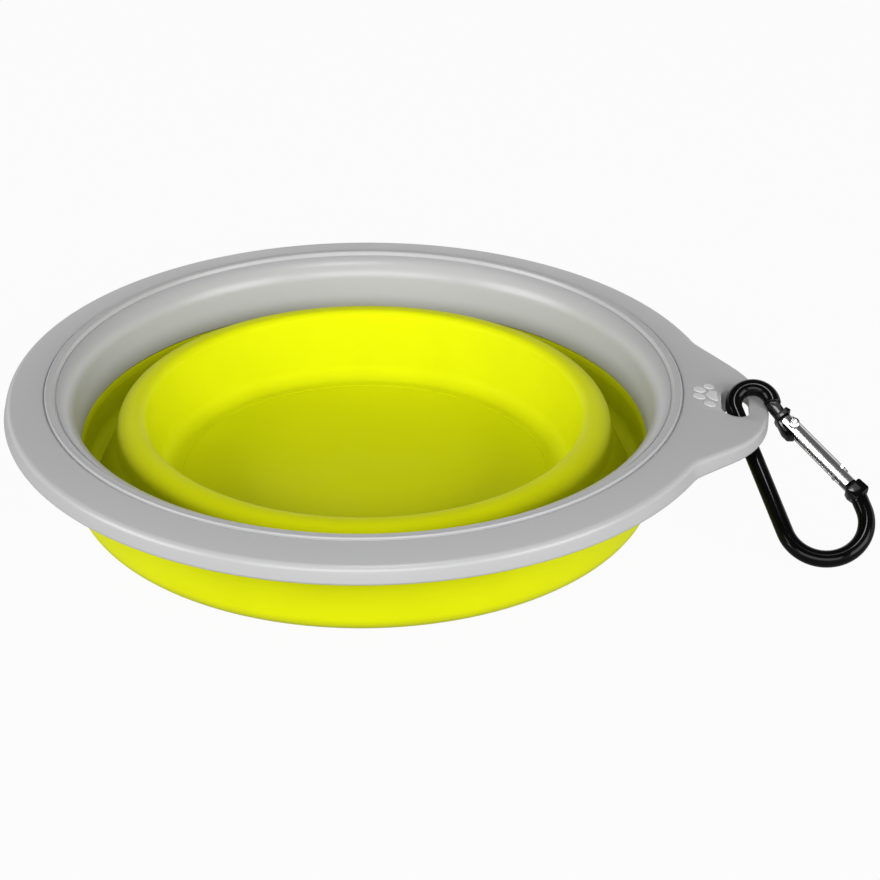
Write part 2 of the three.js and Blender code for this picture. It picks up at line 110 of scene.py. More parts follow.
def rounded(corners: Sequence[Corner], closed: bool = True, facet: float = 8.0) -> list[Vector]:
    """Rounds the corners of an outline.

    Args:
        corners: The corners in order, in millimetres.
        closed: Whether the last corner joins the first.
        facet: The most that a rounding turns from point to point, in degrees.

    Returns:
        The outline's points, in millimetres.
    """
    points = []
    count = len(corners)
    for i, corner in enumerate(corners):
        here = corner.at()
        end = not closed and i in (0, count - 1)
        if corner.radius == 0.0 or end:
            points.append(here)
            continue
        back = (corners[i - 1].at() - here).normalized()
        on = (corners[(i + 1) % count].at() - here).normalized()
        half = back.angle(on) / 2.0
        centre = here + (back + on).normalized() * (corner.radius / math.sin(half))
        start = here + back * (corner.radius / math.tan(half)) - centre
        sweep = math.pi - 2.0 * half
        if back.x * on.y - back.y * on.x > 0.0:
            sweep = -sweep
        steps = max(1, math.ceil(abs(sweep) / math.radians(facet)))
        for j in range(steps + 1):
            points.append(centre + Matrix.Rotation(sweep * j / steps, 2) @ start)
    return points


def clear_selection() -> None:
    """Leaves edit mode and deselects every object."""
    if bpy.context.mode != "OBJECT":
        bpy.ops.object.mode_set(mode="OBJECT")
    bpy.ops.object.select_all(action="DESELECT")


def take_up(piece: bpy.types.Object) -> None:
    """Selects one object alone and makes it the active one.

    Args:
        piece: The object to work on.
    """
    clear_selection()
    piece.select_set(True)
    bpy.context.view_layer.objects.active = piece


def start_edit(name: str) -> bpy.types.Object:
    """Names the primitive that was just added, applies its place and opens it in edit mode, all selected.

    Args:
        name: The piece's name.

    Returns:
        The object, in edit mode.
    """
    piece = bpy.context.active_object
    piece.name = name
    piece.data.name = name
    bpy.ops.object.transform_apply(location=True, rotation=True, scale=True)
    bpy.ops.object.mode_set(mode="EDIT")
    bpy.ops.mesh.select_mode(type="VERT")
    bpy.ops.mesh.select_all(action="SELECT")
    return piece


def pick(piece: bpy.types.Object, kind: Pick, wanted: Callable[..., bool]) -> int:
    """Selects the parts of a mesh in edit mode that pass a test.

    Args:
        piece: The object in edit mode.
        kind: Whether points, edges or faces are tested.
        wanted: The test.

    Returns:
        How many were selected.
    """
    bpy.ops.mesh.select_mode(type=kind.value)
    bpy.ops.mesh.select_all(action="DESELECT")
    mesh = bmesh.from_edit_mesh(piece.data)
    parts = {Pick.POINTS: mesh.verts, Pick.EDGES: mesh.edges, Pick.FACES: mesh.faces}[kind]
    chosen = [part for part in parts if wanted(part)]
    for part in chosen:
        part.select_set(True)
    mesh.select_flush_mode()
    bmesh.update_edit_mesh(piece.data)
    return len(chosen)


def close_up() -> None:
    """Merges the doubles of the mesh in edit mode and turns its faces outwards."""
    bpy.ops.mesh.select_all(action="SELECT")
    bpy.ops.mesh.remove_doubles(threshold=MERGE)
    bpy.ops.mesh.normals_make_consistent(inside=False)


def push(move: Vector) -> None:
    """Extrudes what is selected by a move in metres."""
    bpy.ops.mesh.extrude_region_move(TRANSFORM_OT_translate={"value": move})


def draw_outline(name: str, points: Sequence[Vector], closed: bool = True) -> bpy.types.Object:
    """Draws an outline from a single point by extruding it from place to place.

    Args:
        name: The piece's name.
        points: The outline's points, in metres.
        closed: Whether the last point joins the first.

    Returns:
        The object, in edit mode.
    """
    clear_selection()
    bpy.ops.mesh.primitive_plane_add(size=MM)
    piece = start_edit(name)
    bpy.ops.mesh.merge(type="CENTER")
    bpy.ops.transform.translate(value=points[0])
    for before, after in zip(points, points[1:]):
        push(after - before)
    if closed:
        ends = (points[0], points[-1])
        pick(piece, Pick.POINTS, lambda point: min((point.co - end).length for end in ends) < MERGE)
        bpy.ops.mesh.edge_face_add()
    return piece


def smooth(piece: bpy.types.Object, angle: float = 34.0) -> bpy.types.Object:
    """Shades a piece smooth, with its sharper edges kept.

    Args:
        piece: The object.
        angle: The angle between faces past which an edge stays sharp, in degrees.

    Returns:
        The same object.
    """
    take_up(piece)
    bpy.ops.object.shade_smooth_by_angle(angle=math.radians(angle))
    return piece


def settle(piece: bpy.types.Object, place: Matrix) -> bpy.types.Object:
    """Moves a mesh to its place and leaves its object at the origin.

    Args:
        piece: The object.
        place: Where it goes.

    Returns:
        The same object.
    """
    take_up(piece)
    piece.matrix_world = place
    bpy.ops.object.transform_apply(location=True, rotation=True, scale=True)
    return piece


def turned_ring(name: str, corners: Sequence[Corner], steps: int, closed: bool = True) -> bpy.types.Object:
    """Turns an outline round the bowl's axis.

    Args:
        name: The piece's name.
        corners: The section's corners, as distance from the axis and height in millimetres.
        steps: How many faces go round.
        closed: Whether the section closes on itself, or ends on the axis.

    Returns:
        The ring or disc.
    """
    section = [Vector((point.x, 0.0, point.y)) * MM for point in rounded(corners, closed)]
    piece = draw_outline(name, section, closed)
    bpy.ops.mesh.select_all(action="SELECT")
    bpy.ops.mesh.spin(steps=steps, angle=TURN, center=(0, 0, 0), axis=(0, 0, 1))
    close_up()
    return smooth(piece)


def raised_plate(name: str, corners: Sequence[Corner], thickness: float, edge: float) -> bpy.types.Object:
    """Makes a plate with rounded edges, half above and half below the plane it is drawn in.

    Args:
        name: The piece's name.
        corners: The outline's corners in millimetres.
        thickness: The plate's thickness in millimetres.
        edge: The radius of its edges in millimetres.

    Returns:
        The plate.
    """
    low = -thickness / 2.0
    outline = [Vector((point.x, point.y, low)) * MM for point in rounded(corners, facet=12.0)]
    piece = draw_outline(name, outline)
    bpy.ops.mesh.select_all(action="SELECT")
    bpy.ops.mesh.edge_face_add()
    push(Vector((0.0, 0.0, thickness * MM)))
    close_up()
    if edge > 0.0:
        pick(piece, Pick.EDGES, lambda line: line.calc_face_angle(0.0) > math.radians(50.0))
        bpy.ops.mesh.bevel(offset=edge * MM, segments=4, affect="EDGES", clamp_overlap=True)
    return smooth(piece, 40.0)


def join(piece: bpy.types.Object, other: bpy.types.Object, how: Join) -> None:
    """Joins a second solid to a piece and removes it.

    Args:
        piece: The piece that is changed.
        other: The solid that is added or cut away.
        how: Whether it is added or cut.
    """
    take_up(piece)
    bpy.ops.object.modifier_add(type="BOOLEAN")
    modifier = piece.modifiers[-1]
    modifier.operation = how.value
    modifier.solver = "MANIFOLD"
    modifier.object = other
    bpy.ops.object.modifier_apply(modifier=modifier.name)
    bpy.data.objects.remove(other, do_unlink=True)


def hand_over(
        piece: bpy.types.Object, finish: bpy.types.Material, body: Body, slot: Slot, *nodes: str) -> None:
    """Dresses a finished piece and puts it on its body in place of its CAD nodes.

    Args:
        piece: The piece.
        finish: Its material.
        body: The body that carries it.
        slot: Not used.
        nodes: The CAD nodes that it stands for.
    """
    piece.data.materials.clear()
    piece.data.materials.append(finish)
    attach(piece, body.value)
    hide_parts(*nodes)
    log.info("%s: %d faces, on %s", piece.name, len(piece.data.polygons), body.value)


class NodeSheet:
    """A material's nodes, with short calls that add and link them."""

    def __init__(self, name: str) -> None:
        """Starts a material with a principled shader.

        Args:
            name: The material's name.
        """
        self.material = bpy.data.materials.new(name)
        self.material.use_nodes = True
        self.tree = self.material.node_tree
        self.shader = self.tree.nodes["Principled BSDF"]
        self.output = self.tree.nodes["Material Output"]
        self.place = self.add("ShaderNodeTexCoord").outputs["Object"]

    def add(self, kind: str) -> bpy.types.Node:
        """Adds a node of a kind."""
        return self.tree.nodes.new(kind)

    def link(self, start: bpy.types.NodeSocket, end: bpy.types.NodeSocket) -> None:
        """Links an output to an input."""
        self.tree.links.new(start, end)

    def set(self, socket: str, value: float | tuple[float, ...]) -> None:
        """Sets one of the shader's own values."""
        self.shader.inputs[socket].default_value = value

    def turned(self, turn: Place, stretch: Place) -> bpy.types.NodeSocket:
        """Turns and stretches the pattern's coordinates.

        Args:
            turn: The turn about each axis, in radians.
            stretch: The scale along each axis after the turn.

        Returns:
            The new coordinates.
        """
        mapping = self.add("ShaderNodeMapping")
        mapping.inputs["Rotation"].default_value = turn
        scale = self.add("ShaderNodeVectorMath")
        scale.operation = "MULTIPLY"
        scale.inputs[1].default_value = stretch
        self.link(self.place, mapping.inputs["Vector"])
        self.link(mapping.outputs["Vector"], scale.inputs[0])
        return scale.outputs["Vector"]

    def noise(
            self, size: float, detail: float = 2.0,
            where: bpy.types.NodeSocket | None = None) -> bpy.types.NodeSocket:
        """Adds an even noise.

        Args:
            size: The size of its blotches, in millimetres.
            detail: How many finer layers it has.
            where: Its coordinates, or none for the object's own.

        Returns:
            The noise's value, about 0.3 to 0.7.
        """
        node = self.add("ShaderNodeTexNoise")
        node.inputs["Scale"].default_value = 1.0 / (size * MM)
        node.inputs["Detail"].default_value = detail
        self.link(where or self.place, node.inputs["Vector"])
        return node.outputs["Fac"]

    def spread(self, value: bpy.types.NodeSocket, low: float, high: float) -> bpy.types.NodeSocket:
        """Spreads a noise over a range.

        Args:
            value: The noise.
            low: The range's low end.
            high: The range's high end.

        Returns:
            The spread value.
        """
        node = self.add("ShaderNodeMapRange")
        node.interpolation_type = "SMOOTHERSTEP"
        node.inputs["From Min"].default_value = 0.3
        node.inputs["From Max"].default_value = 0.7
        node.inputs["To Min"].default_value = low
        node.inputs["To Max"].default_value = high
        self.link(value, node.inputs["Value"])
        return node.outputs["Result"]

    def tint(self, value: bpy.types.NodeSocket, first: Colour, second: Colour) -> bpy.types.NodeSocket:
        """Mixes two colours by a value.

        Args:
            value: The share of the second colour.
            first: The colour at 0.
            second: The colour at 1.

        Returns:
            The mixed colour.
        """
        node = self.add("ShaderNodeMix")
        node.data_type = "RGBA"
        node.inputs["A"].default_value = (*first, 1.0)
        node.inputs["B"].default_value = (*second, 1.0)
        self.link(value, node.inputs["Factor"])
        return node.outputs["Result"]

    def colour_from(self, socket: bpy.types.NodeSocket) -> None:
        """Gives the shader its colour."""
        self.link(socket, self.shader.inputs["Base Color"])

    def roughness_from(self, socket: bpy.types.NodeSocket) -> None:
        """Gives the shader its roughness."""
        self.link(socket, self.shader.inputs["Roughness"])

    def relief_from(self, socket: bpy.types.NodeSocket, depth: float, strength: float) -> None:
        """Gives the shader its fine relief.

        Args:
            socket: The height.
            depth: The height of its full range, in millimetres.
            strength: How far it shows, from 0 to 1.
        """
        bump = self.add("ShaderNodeBump")
        bump.inputs["Strength"].default_value = strength
        bump.inputs["Distance"].default_value = depth * MM
        self.link(socket, bump.inputs["Height"])
        self.link(bump.outputs["Normal"], self.shader.inputs["Normal"])


def shaded(colour: Colour, share: float) -> Colour:
    """Gives a colour made lighter or darker by a share."""
    return tuple(min(1.0, channel * share) for channel in colour)


@dataclass(frozen=True)
class SatinPlastic:
    """Stiff moulded plastic with slight flow clouds and the faint waves of a polished mould."""

    name: str
    colour: Colour
    cloud: float = 0.008
    wave: float = 14.0
    depth: float = 0.02
    gloss: tuple[float, float] = (0.28, 0.305)
    level: float = 0.42
    mirror: Colour = (1.0, 1.0, 1.0)

    def material(self) -> bpy.types.Material:
        """Builds the finish's nodes.

        Returns:
            The material.
        """
        sheet = NodeSheet(self.name)
        clouds = sheet.spread(sheet.noise(60.0, 1.0), 0.0, 1.0)
        dark = shaded(self.colour, 1.0 - self.cloud)
        light = shaded(self.colour, 1.0 + self.cloud)
        sheet.colour_from(sheet.tint(clouds, dark, light))
        sheet.roughness_from(sheet.spread(sheet.noise(16.0, 1.0), *self.gloss))
        sheet.relief_from(sheet.noise(self.wave, 1.0), self.depth, 0.2)
        sheet.set("IOR", 1.47)
        sheet.set("Specular IOR Level", self.level)
        sheet.set("Specular Tint", (*self.mirror, 1.0))
        return sheet.material


@dataclass(frozen=True)
class SoftMoulding:
    """Soft rubbery moulding, satin, with a little light carried under its skin."""

    name: str
    colour: Colour
    cloud: float = 0.015
    gloss: tuple[float, float] = (0.43, 0.5)
    carried: float = 0.08
    level: float = 0.4

    def material(self) -> bpy.types.Material:
        """Builds the finish's nodes.

        Returns:
            The material.
        """
        sheet = NodeSheet(self.name)
        clouds = sheet.spread(sheet.noise(18.0, 3.0), 0.0, 1.0)
        dark = shaded(self.colour, 1.0 - self.cloud)
        light = shaded(self.colour, 1.0 + self.cloud)
        sheet.colour_from(sheet.tint(clouds, dark, light))
        sheet.roughness_from(sheet.spread(sheet.noise(10.0, 2.0), *self.gloss))
        sheet.relief_from(sheet.noise(8.0, 1.0), 0.02, 0.2)
        sheet.set("Subsurface Weight", self.carried)
        sheet.set("Subsurface Radius", (1.0, 1.0, 0.3))
        sheet.set("Subsurface Scale", 1.2 * MM)
        sheet.set("IOR", 1.42)
        sheet.set("Specular IOR Level", self.level)
        sheet.set("Specular Tint", (*self.colour, 1.0))
        return sheet.material


@dataclass(frozen=True)
class GlossBlack:
    """Black enamel on a die-cast bar, glossy, with the faint ripple of a sprayed coat."""

    name: str
    colour: Colour
    gloss: tuple[float, float] = (0.05, 0.08)

    def material(self) -> bpy.types.Material:
        """Builds the finish's nodes.

        Returns:
            The material.
        """
        sheet = NodeSheet(self.name)
        clouds = sheet.spread(sheet.noise(4.0, 2.0), 0.0, 1.0)
        sheet.colour_from(sheet.tint(clouds, shaded(self.colour, 0.8), shaded(self.colour, 1.2)))
        sheet.roughness_from(sheet.spread(sheet.noise(3.0, 2.0), *self.gloss))
        sheet.relief_from(sheet.noise(4.0, 1.0), 0.006, 0.15)
        sheet.set("IOR", 1.45)
        sheet.set("Specular IOR Level", 0.13)
        return sheet.material


@dataclass(frozen=True)
class BrightMetal:
    """Bright plated steel, brushed along one direction."""

    name: str
    colour: Colour
    turn: Place = (0.0, 0.0, 0.0)
    gloss: tuple[float, float] = (0.19, 0.21)
    edge_tint: float = 0.03
    streak: float = 0.03

    def material(self) -> bpy.types.Material:
        """Builds the finish's nodes.

        Returns:
            The material.
        """
        sheet = NodeSheet(self.name)
        along = sheet.turned(self.turn, (0.06, 1.0, 1.0))
        brushed = sheet.noise(0.5, 1.0, along)
        dark = shaded(self.colour, 1.0 - self.streak)
        light = shaded(self.colour, 1.0 + self.streak)
        sheet.colour_from(sheet.tint(sheet.spread(brushed, 0.0, 1.0), dark, light))
        sheet.roughness_from(sheet.spread(sheet.noise(5.0, 1.0), *self.gloss))
        sheet.set("Metallic", 1.0)
        sheet.set("Specular Tint", (self.edge_tint, self.edge_tint, self.edge_tint, 1.0))
        return sheet.material


@dataclass(frozen=True)
class PaleGround:
    """White studio floor, which keeps a soft share of the shadows that fall on it."""

    name: str
    colour: Colour = (0.27, 0.27, 0.27)
    glow: float = 0.96
    mirrored: float = 0.3

    def material(self) -> bpy.types.Material:
        """Builds the floor's nodes.

        Returns:
            The material.
        """
        sheet = NodeSheet(self.name)
        clouds = sheet.spread(sheet.noise(60.0, 2.0), 0.0, 1.0)
        sheet.colour_from(sheet.tint(clouds, shaded(self.colour, 0.99), shaded(self.colour, 1.01)))
        sheet.set("Roughness", 0.9)
        sheet.set("Specular IOR Level", 0.0)
        path = sheet.add("ShaderNodeLightPath")
        seen = sheet.add("ShaderNodeMath")
        seen.operation = "MAXIMUM"
        sheet.link(path.outputs["Is Camera Ray"], seen.inputs[0])
        sheet.link(path.outputs["Is Transmission Ray"], seen.inputs[1])
        direct = sheet.add("ShaderNodeMath")
        direct.operation = "MULTIPLY"
        direct.inputs[1].default_value = self.glow
        sheet.link(seen.outputs[0], direct.inputs[0])
        share = sheet.add("ShaderNodeMath")
        share.operation = "MULTIPLY_ADD"
        share.inputs[1].default_value = self.mirrored
        sheet.link(path.outputs["Is Glossy Ray"], share.inputs[0])
        sheet.link(direct.outputs[0], share.inputs[2])
        light = sheet.add("ShaderNodeEmission")
        mix = sheet.add("ShaderNodeMixShader")
        sheet.link(share.outputs[0], mix.inputs[0])
        sheet.link(sheet.shader.outputs[0], mix.inputs[1])
        sheet.link(light.outputs[0], mix.inputs[2])
        sheet.link(mix.outputs[0], sheet.output.inputs["Surface"])
        sheet.material.cycles.emission_sampling = "NONE"
        return sheet.material


@dataclass
class SoftWall:
    """The soft wall: an outer zone on the rim, a zone that turns over, and the wall of the cup."""

    finish: bpy.types.Material
    steps: int = 180
    outer_radius: float = 79.3
    top: float = 26.0
    fold_radius: float = 4.2
    fold_reach: float = 73.4
    fold_bottom: float = 0.1
    ledge_inner: float = 67.3
    ledge_top: float = 4.4
    ledge_fillet: float = 2.4
    inner_radius: float = 70.3
    foot_inner: float = 64.9
    foot_outer: float = 67.28
    foot_bottom: float = 1.2
    waist: Spot = (62.3, 14.0)
    roll_top: float = 21.3
    roll_side: float = 61.8
    roll_radius: float = 4.2
    crest: float = 57.2
    lip: float = 55.0
    lip_radius: float = 2.2
    wall: float = 2.0
    cup_foot: float = 51.8
    cup_fillet: float = 4.4
    floor_edge: float = 46.4
    floor_top: float = 3.25
    ledge_bottom: float = 0.42
    fold_inner: float = 69.2
    belly: Spot = (73.5, 8.5)
    flare: Spot = (74.6, 15.2)
    shoulder: Spot = (77.0, 20.0)
    seat_bottom: float = 23.8
    seat_inner: float = 76.3
    seat_foot: Spot = (73.5, 23.2)
    seat_groove: Spot = (72.0, 14.1)
    seat_lip: Spot = (71.1, 14.5)
    under_lip: Spot = (70.5, 12.6)
    waist_inside: Spot = (60.2, 13.4)
    foot_bend: float = 3.4
    cup_bottom: float = 0.3
    cup_outside: Spot = (53.8, 6.2)
    floor_overlap: float = 0.15
    cup_heel: float = 49.1
    cup_toe: float = 52.6

    def outer_zone(self) -> bpy.types.Object:
        """Makes the outer wall, from the rim down to the lower fold and its ledge.

        Returns:
            The outer wall.
        """
        return turned_ring("outer_wall", [
            Corner(self.ledge_inner, self.ledge_bottom, 0.5),
            Corner(self.fold_inner, self.fold_bottom, 4.0),
            Corner(self.fold_reach, self.fold_bottom, self.fold_radius),
            Corner(*self.belly, 30.0),
            Corner(*self.flare, 16.0),
            Corner(*self.shoulder, 10.0),
            Corner(self.outer_radius, self.seat_bottom, 1.2),
            Corner(self.outer_radius, self.top, 0.3),
            Corner(self.seat_inner, self.top, 0.4),
            Corner(*self.seat_foot, 3.0),
            Corner(*self.seat_groove, 0.2),
            Corner(*self.seat_lip, 0.3),
            Corner(*self.under_lip, 1.5),
            Corner(self.inner_radius, self.ledge_top, self.ledge_fillet),
            Corner(self.ledge_inner, self.ledge_top, 0.12),
        ], self.steps)

    def turning_zone(self) -> bpy.types.Object:
        """Makes the wall between the lower fold and the roll's crest.

        Returns:
            The wall that turns over.
        """
        inside = self.roll_radius - self.wall
        return turned_ring("turning_wall", [
            Corner(self.foot_inner, self.foot_bottom, 0.6),
            Corner(self.foot_outer, self.foot_bottom, 0.3),
            Corner(self.foot_outer, self.ledge_top, 0.12),
            Corner(*self.waist, 5.0),
            Corner(self.roll_side, self.roll_top, self.roll_radius),
            Corner(self.crest, self.roll_top),
            Corner(self.crest, self.roll_top - self.wall),
            Corner(self.roll_side - self.wall, self.roll_top - self.wall, inside),
            Corner(*self.waist_inside, 4.0),
            Corner(self.foot_inner, self.foot_bend, 0.6),
        ], self.steps)

    def cup_zone(self) -> bpy.types.Object:
        """Makes the roll's inner half and the cup's wall, down to a thin edge on the floor.

        Returns:
            The cup's wall.
        """
        return turned_ring("cup_wall", [
            Corner(self.floor_edge, self.floor_top - self.floor_overlap),
            Corner(self.cup_heel - 0.1, self.floor_top - self.floor_overlap),
            Corner(self.cup_heel, self.cup_bottom, 0.4),
            Corner(self.cup_toe, self.cup_bottom, 1.6),
            Corner(*self.cup_outside, 6.0),
            Corner(self.lip + self.wall, self.roll_top - self.wall, 0.4),
            Corner(self.crest, self.roll_top - self.wall),
            Corner(self.crest, self.roll_top),
            Corner(self.lip, self.roll_top, self.lip_radius),
            Corner(self.cup_foot, self.floor_top, self.cup_fillet),
            Corner(self.floor_edge, self.floor_top),
        ], self.steps)

    def build(self) -> None:
        """Makes the three zones and puts the outer wall and the cup's wall on their bodies; the wall that
        turns over is left in place on no body.
        """
        hand_over(self.outer_zone(), self.finish, Body.RIM, Slot.SOFT_GREEN, "upper_wall")
        hand_over(self.cup_zone(), self.finish, Body.BASE, Slot.SOFT_GREEN, "base_cup")
        turning = self.turning_zone()
        turning.data.materials.append(self.finish)
        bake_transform(turning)
        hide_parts("fold_wall")
        log.info("%s: %d faces, between base and rim", turning.name, len(turning.data.polygons))


@dataclass
class CupFloor:
    """The stiff floor of the cup, with a standing ring and a mould mark underneath."""

    finish: bpy.types.Material
    steps: int = 180
    radius: float = 48.8
    top: float = 3.2
    groove_inner: float = 15.2
    groove_outer: float = 39.6
    groove_depth: float = 1.2

    def build(self) -> None:
        """Makes the floor."""
        disc = turned_ring("cup_floor", [
            Corner(0.0, 0.35),
            Corner(1.6, 0.35, 0.3),
            Corner(2.0, 0.0, 0.3),
            Corner(self.groove_inner - self.groove_depth, 0.0, 0.4),
            Corner(self.groove_inner, self.groove_depth, 0.4),
            Corner(self.groove_outer, self.groove_depth, 0.4),
            Corner(self.groove_outer + self.groove_depth, 0.0, 0.4),
            Corner(self.radius - 0.6, 0.0, 0.3),
            Corner(self.radius, 0.6, 0.3),
            Corner(self.radius, 3.0),
            Corner(self.radius - 0.4, self.top - 0.3),
            Corner(47.0, self.top - 0.25),
            Corner(46.0, self.top, 1.0),
            Corner(24.0, self.top, 0.0),
            Corner(0.0, self.top),
        ], self.steps, closed=False)
        hand_over(disc, self.finish, Body.BASE, Slot.FLOOR_GREEN, "base_plate")


@dataclass(frozen=True)
class Toe:
    """One toe of the paw figure: its place on the tab, its size in millimetres and its turn in degrees."""

    x: float
    y: float
    length: float
    width: float
    turn: float


@dataclass
class RimFrame:
    """The grey rim with its skirt, the hanging tab with its slot, and the paw figure on the tab."""

    finish: bpy.types.Material
    relief_finish: bpy.types.Material
    steps: int = 288
    radius: float = 89.5
    hub: float = 79.4
    top: float = 28.75
    edge_top: float = 27.32
    edge_radius: float = 1.8
    flange: float = 2.0
    skirt_bottom: float = 23.05
    skirt: float = 2.0
    skirt_lean: float = 1.0
    hub_bottom: float = 21.5
    hub_wall: float = 1.6
    tab_reach: float = 100.7
    tip_radius: float = 34.5
    flank_angle: float = 41.0
    corner_radius: float = 10.0
    top_drop: float = 2.1
    bottom_drop: float = 1.65
    slot_centre: float = 92.3
    slot_side: float = 0.5
    slot_width: float = 7.0
    slot_length: float = 13.4
    slot_edge: float = 0.45
    relief: float = 0.13
    sunk: float = 0.3
    rib_top: float = 25.3
    rib_depth: float = 4.3
    rib: float = 1.2
    rib_end: float = -1.0
    flange_middle: float = 84.0
    cutter_bottom: float = 18.0
    cutter_height: float = 16.0
    slot_zone: Spot = (4.5, 8.0)
    toes: tuple[Toe, ...] = (
        Toe(83.4, 4.3, 3.3, 2.8, 14.0), Toe(83.3, 0.6, 3.3, 2.8, -4.0),
        Toe(85.8, 7.1, 2.9, 2.5, 30.0), Toe(86.0, -2.3, 3.1, 2.6, -16.0),
    )
    pad_place: tuple[float, float, float] = (86.5, 2.6, 3.0)

    def reach(self, angle: float) -> float:
        """Gives the distance of the outer edge from the axis, seen from above.

        Args:
            angle: The direction from the tab, in radians.

        Returns:
            The distance in millimetres.
        """
        turn = abs(angle)
        centre = self.tab_reach - self.tip_radius
        lean = math.radians(self.flank_angle)
        normal = Vector((math.cos(lean), math.sin(lean)))
        flank = centre * normal.x + self.tip_radius
        away = flank + self.corner_radius
        along = math.sqrt((self.radius + self.corner_radius) ** 2 - away ** 2)
        hollow = Vector((away * normal.x + along * normal.y, away * normal.y - along * normal.x))
        tip_end = math.atan2(self.tip_radius * normal.y, centre + self.tip_radius * normal.x)
        foot = hollow - normal * self.corner_radius
        ray = Vector((math.cos(turn), math.sin(turn)))
        if turn <= tip_end:
            half = centre * ray.x
            return half + math.sqrt(half ** 2 - centre ** 2 + self.tip_radius ** 2)
        if turn <= math.atan2(foot.y, foot.x):
            return flank / math.cos(turn - lean)
        if turn < math.atan2(hollow.y, hollow.x):
            half = hollow.dot(ray)
            return half - math.sqrt(half ** 2 - hollow.length_squared + self.corner_radius ** 2)
        return self.radius

    def flange_slope(self) -> float:
        """Gives the fall of the flange's top per length outwards."""
        return (self.top - self.edge_top) / (self.radius - self.skirt_lean - self.hub)

    def drawn_zone(self) -> tuple[float, float]:
        """Gives the distances from the axis between which the flange is drawn out, in millimetres."""
        return self.hub + self.hub_wall, self.radius - self.skirt_lean - self.edge_radius

    def pull_out_tab(self, ring: bpy.types.Object) -> None:
        """Draws the flange and skirt out to the tab's outline, lower towards its tip.

        Args:
            ring: The round rim.
        """
        take_up(ring)
        bpy.ops.object.mode_set(mode="EDIT")
        mesh = bmesh.from_edit_mesh(ring.data)
        inner, outer = self.drawn_zone()
        for point in mesh.verts:
            far = math.hypot(point.co.x, point.co.y) / MM
            extra = self.reach(math.atan2(point.co.y, point.co.x)) - self.radius
            share = min(1.0, max(0.0, (far - inner) / (outer - inner)))
            level = (point.co.z / MM - self.skirt_bottom) / (self.edge_top - self.skirt_bottom)
            level = min(1.0, max(0.0, level))
            drawn = share * extra / (self.tab_reach - self.radius)
            drop = self.bottom_drop + (self.top_drop - self.bottom_drop) * level
            upright = self.skirt_lean * level * drawn if share == 1.0 else 0.0
            point.co.xy *= (far + share * extra + upright) / far
            point.co.z -= drop * drawn * MM
        bmesh.update_edit_mesh(ring.data)
        bpy.ops.mesh.select_all(action="SELECT")
        bpy.ops.mesh.normals_make_consistent(inside=False)
        bpy.ops.object.mode_set(mode="OBJECT")

    def slot_cutter(self) -> bpy.types.Object:
        """Makes the long oval solid that cuts the slot.

        Returns:
            The solid, standing through the tab.
        """
        clear_selection()
        bpy.ops.mesh.primitive_circle_add(
            vertices=40, radius=self.slot_width / 2.0 * MM, fill_type="NGON",
            location=Vector((self.slot_centre, self.slot_side, self.cutter_bottom)) * MM)
        cutter = start_edit("slot_cutter")
        spare = (self.slot_length - self.slot_width) / 2.0 * MM
        for side in (1.0, -1.0):
            pick(cutter, Pick.POINTS, lambda point: (point.co.y - self.slot_side * MM) * side > MERGE)
            bpy.ops.transform.translate(value=(0.0, side * spare, 0.0))
        bpy.ops.mesh.select_all(action="SELECT")
        push(Vector((0.0, 0.0, self.cutter_height * MM)))
        close_up()
        clear_selection()
        return cutter

    def slot_rib(self) -> bpy.types.Object:
        """Makes the curved rib under the tab that deepens the slot on the bowl's side.

        Returns:
            The rib in its place.
        """
        half = self.slot_width / 2.0
        spare = (self.slot_length - self.slot_width) / 2.0
        sides = []
        for away in (half, half + self.rib):
            sides.append(rounded([
                Corner(-away, -spare), Corner(-away, spare + away, away),
                Corner(self.rib_end, spare + away),
            ], closed=False))
        middle = Vector((self.slot_centre, self.slot_side, self.rib_top - self.rib_depth))
        outline = [(point.to_3d() + middle) * MM for point in sides[0] + sides[1][::-1]]
        piece = draw_outline("slot_rib", outline)
        bpy.ops.mesh.select_all(action="SELECT")
        bpy.ops.mesh.edge_face_add()
        push(Vector((0.0, 0.0, self.rib_depth * MM)))
        close_up()
        clear_selection()
        return piece

    def in_slot(self, line: bmesh.types.BMEdge) -> bool:
        """Tells whether an edge is the rim of the slot, between its wall and a face of the tab.

        Args:
            line: The edge.

        Returns:
            True on the rim of the slot.
        """
        if len(line.link_faces) != 2:
            return False
        middle = (line.verts[0].co + line.verts[1].co) / 2.0
        across = abs(middle.x / MM - self.slot_centre)
        near = across < self.slot_zone[0] and abs(middle.y / MM) < self.slot_zone[1]
        levels = sorted(abs(face.normal.z) for face in line.link_faces)
        return near and levels[0] < 0.2 < 0.7 < levels[1]

    def moulding(self) -> bpy.types.Object:
        """Makes the rim with its tab and slot.

        Returns:
            The rim.
        """
        piece = turned_ring("frame_moulding", [
            Corner(self.hub, self.hub_bottom, 0.3),
            Corner(self.hub + self.hub_wall, self.hub_bottom, 0.3),
            Corner(self.hub + self.hub_wall, self.top - self.flange, 0.7),
            Corner(self.radius - self.skirt_lean - self.skirt, self.edge_top - self.flange, 0.6),
            Corner(self.radius - self.skirt, self.skirt_bottom, 0.5),
            Corner(self.radius, self.skirt_bottom, 0.6),
            Corner(self.radius - self.skirt_lean, self.edge_top, self.edge_radius),
            Corner(self.flange_middle, self.top - self.flange_slope() * (self.flange_middle - self.hub)),
            Corner(self.hub, self.top, 0.3),
        ], self.steps)
        self.pull_out_tab(piece)
        join(piece, self.slot_rib(), Join.ADD)
        join(piece, self.slot_cutter(), Join.CUT)
        take_up(piece)
        bpy.ops.object.mode_set(mode="EDIT")
        pick(piece, Pick.EDGES, self.in_slot)
        bpy.ops.mesh.bevel(offset=self.slot_edge * MM, segments=3, affect="EDGES", clamp_overlap=True)
        return smooth(piece)

